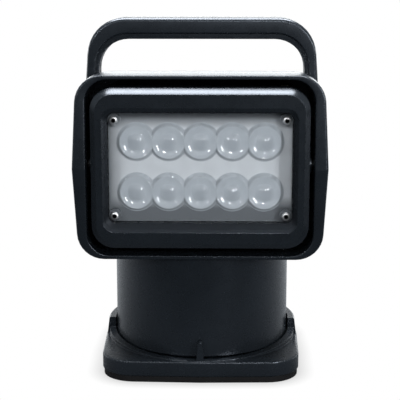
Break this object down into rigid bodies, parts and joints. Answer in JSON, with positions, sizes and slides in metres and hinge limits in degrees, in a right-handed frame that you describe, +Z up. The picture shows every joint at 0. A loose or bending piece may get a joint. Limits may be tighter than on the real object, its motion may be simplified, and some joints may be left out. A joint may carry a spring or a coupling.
{
  "type": "remote-controlled marine searchlight",
  "caption": "Deck-mounted marine searchlight: square base, turning drum, hoop-framed head with carrying handle, and a tilting lamp with lens optics behind a clear cover.",
  "frame": {"origin": "on the pan axis at the underside of the base gasket", "axes": "+Z up along the pan axis, -Y to the front where the lamp looks at rest, +X to the right seen from the front"},
  "size_m": [0.16, 0.132, 0.23],
  "materials": {
    "black_abs": "injection-moulded black ABS with a fine satin grain",
    "rubber": "moulded black rubber, matt",
    "stainless_steel": "turned stainless steel",
    "motor_steel": "zinc-plated motor can",
    "brass": "turned brass",
    "bearing_bronze": "sintered bronze bearing",
    "gear_nylon": "moulded natural nylon gear",
    "aluminium": "die-cast and pressed aluminium",
    "circuit_board": "glass-fibre circuit board with green lacquer",
    "clear_polycarbonate": "clear polished polycarbonate cover",
    "frosted_optic": "moulded optic plate with a light frost",
    "led_phosphor": "silicone dome over yellow phosphor"
  },
  "bodies": {
    "base": {"base_gasket": "rubber", "base_plate": "aluminium", "base_plate_screws": "stainless_steel", "base_shell": "black_abs", "mounting_inserts": "brass", "cable_grommet": "rubber", "pan_spindle": "stainless_steel", "spindle_screws": "stainless_steel", "pan_sun_gear": "gear_nylon", "thrust_washer": "bearing_bronze", "spindle_washer": "stainless_steel", "spindle_nut": "brass"},
    "turret": {"turret_drum": "black_abs", "pan_bush_lower": "bearing_bronze", "pan_bush_upper": "bearing_bronze", "pan_motor": "motor_steel", "pan_motor_screws": "stainless_steel", "control_board": "circuit_board", "control_board_screws": "stainless_steel", "head_screws": "stainless_steel", "front_hoop": "black_abs", "rear_shell": "black_abs", "shell_screws": "stainless_steel", "handle": "black_abs", "handle_screws": "stainless_steel", "pivot_bush_left": "bearing_bronze", "pivot_bush_right": "bearing_bronze", "tilt_motor": "motor_steel", "tilt_motor_bracket": "aluminium", "tilt_motor_screws": "stainless_steel", "bracket_screws": "stainless_steel"},
    "lamp": {"lamp_bezel": "black_abs", "bezel_screws": "stainless_steel", "lamp_housing": "black_abs", "lens_cover": "clear_polycarbonate", "cover_gasket": "rubber", "cover_screws": "stainless_steel", "lens_array": "frosted_optic", "led_board": "circuit_board", "led_emitters": "led_phosphor", "heat_sink": "aluminium", "heat_sink_screws": "stainless_steel", "pivot_pin_left": "stainless_steel", "pivot_pin_right": "stainless_steel", "tilt_sector": "gear_nylon", "sector_screws": "stainless_steel"},
    "pan_drive": {"pan_pinion": "gear_nylon", "pan_motor_shaft": "stainless_steel"},
    "tilt_drive": {"tilt_pinion": "gear_nylon", "tilt_motor_shaft": "stainless_steel"}
  },
  "joints": [
    {"name": "pan", "type": "hinge", "parent": "base", "child": "turret", "pos_m": [0, 0, 0.03], "axis": [0, 0, 1], "range_deg": [-180, 180]},
    {"name": "tilt", "type": "hinge", "parent": "turret", "child": "lamp", "pos_m": [0, -0.042, 0.13925], "axis": [1, 0, 0], "range_deg": [-45, 45]},
    {"name": "pan_pinion_spin", "type": "hinge", "parent": "turret", "child": "pan_drive", "pos_m": [0, 0.039, 0.02], "axis": [0, 0, 1], "range_deg": [-605, 605]},
    {"name": "tilt_pinion_spin", "type": "hinge", "parent": "turret", "child": "tilt_drive", "pos_m": [0.0545, 0.024, 0.13925], "axis": [1, 0, 0], "range_deg": [-205, 205]}
  ],
  "couplings": [
    {"joint": "pan_pinion_spin", "follows": "pan", "ratio": 3.3333},
    {"joint": "tilt_pinion_spin", "follows": "tilt", "ratio": -4.5}
  ]
}
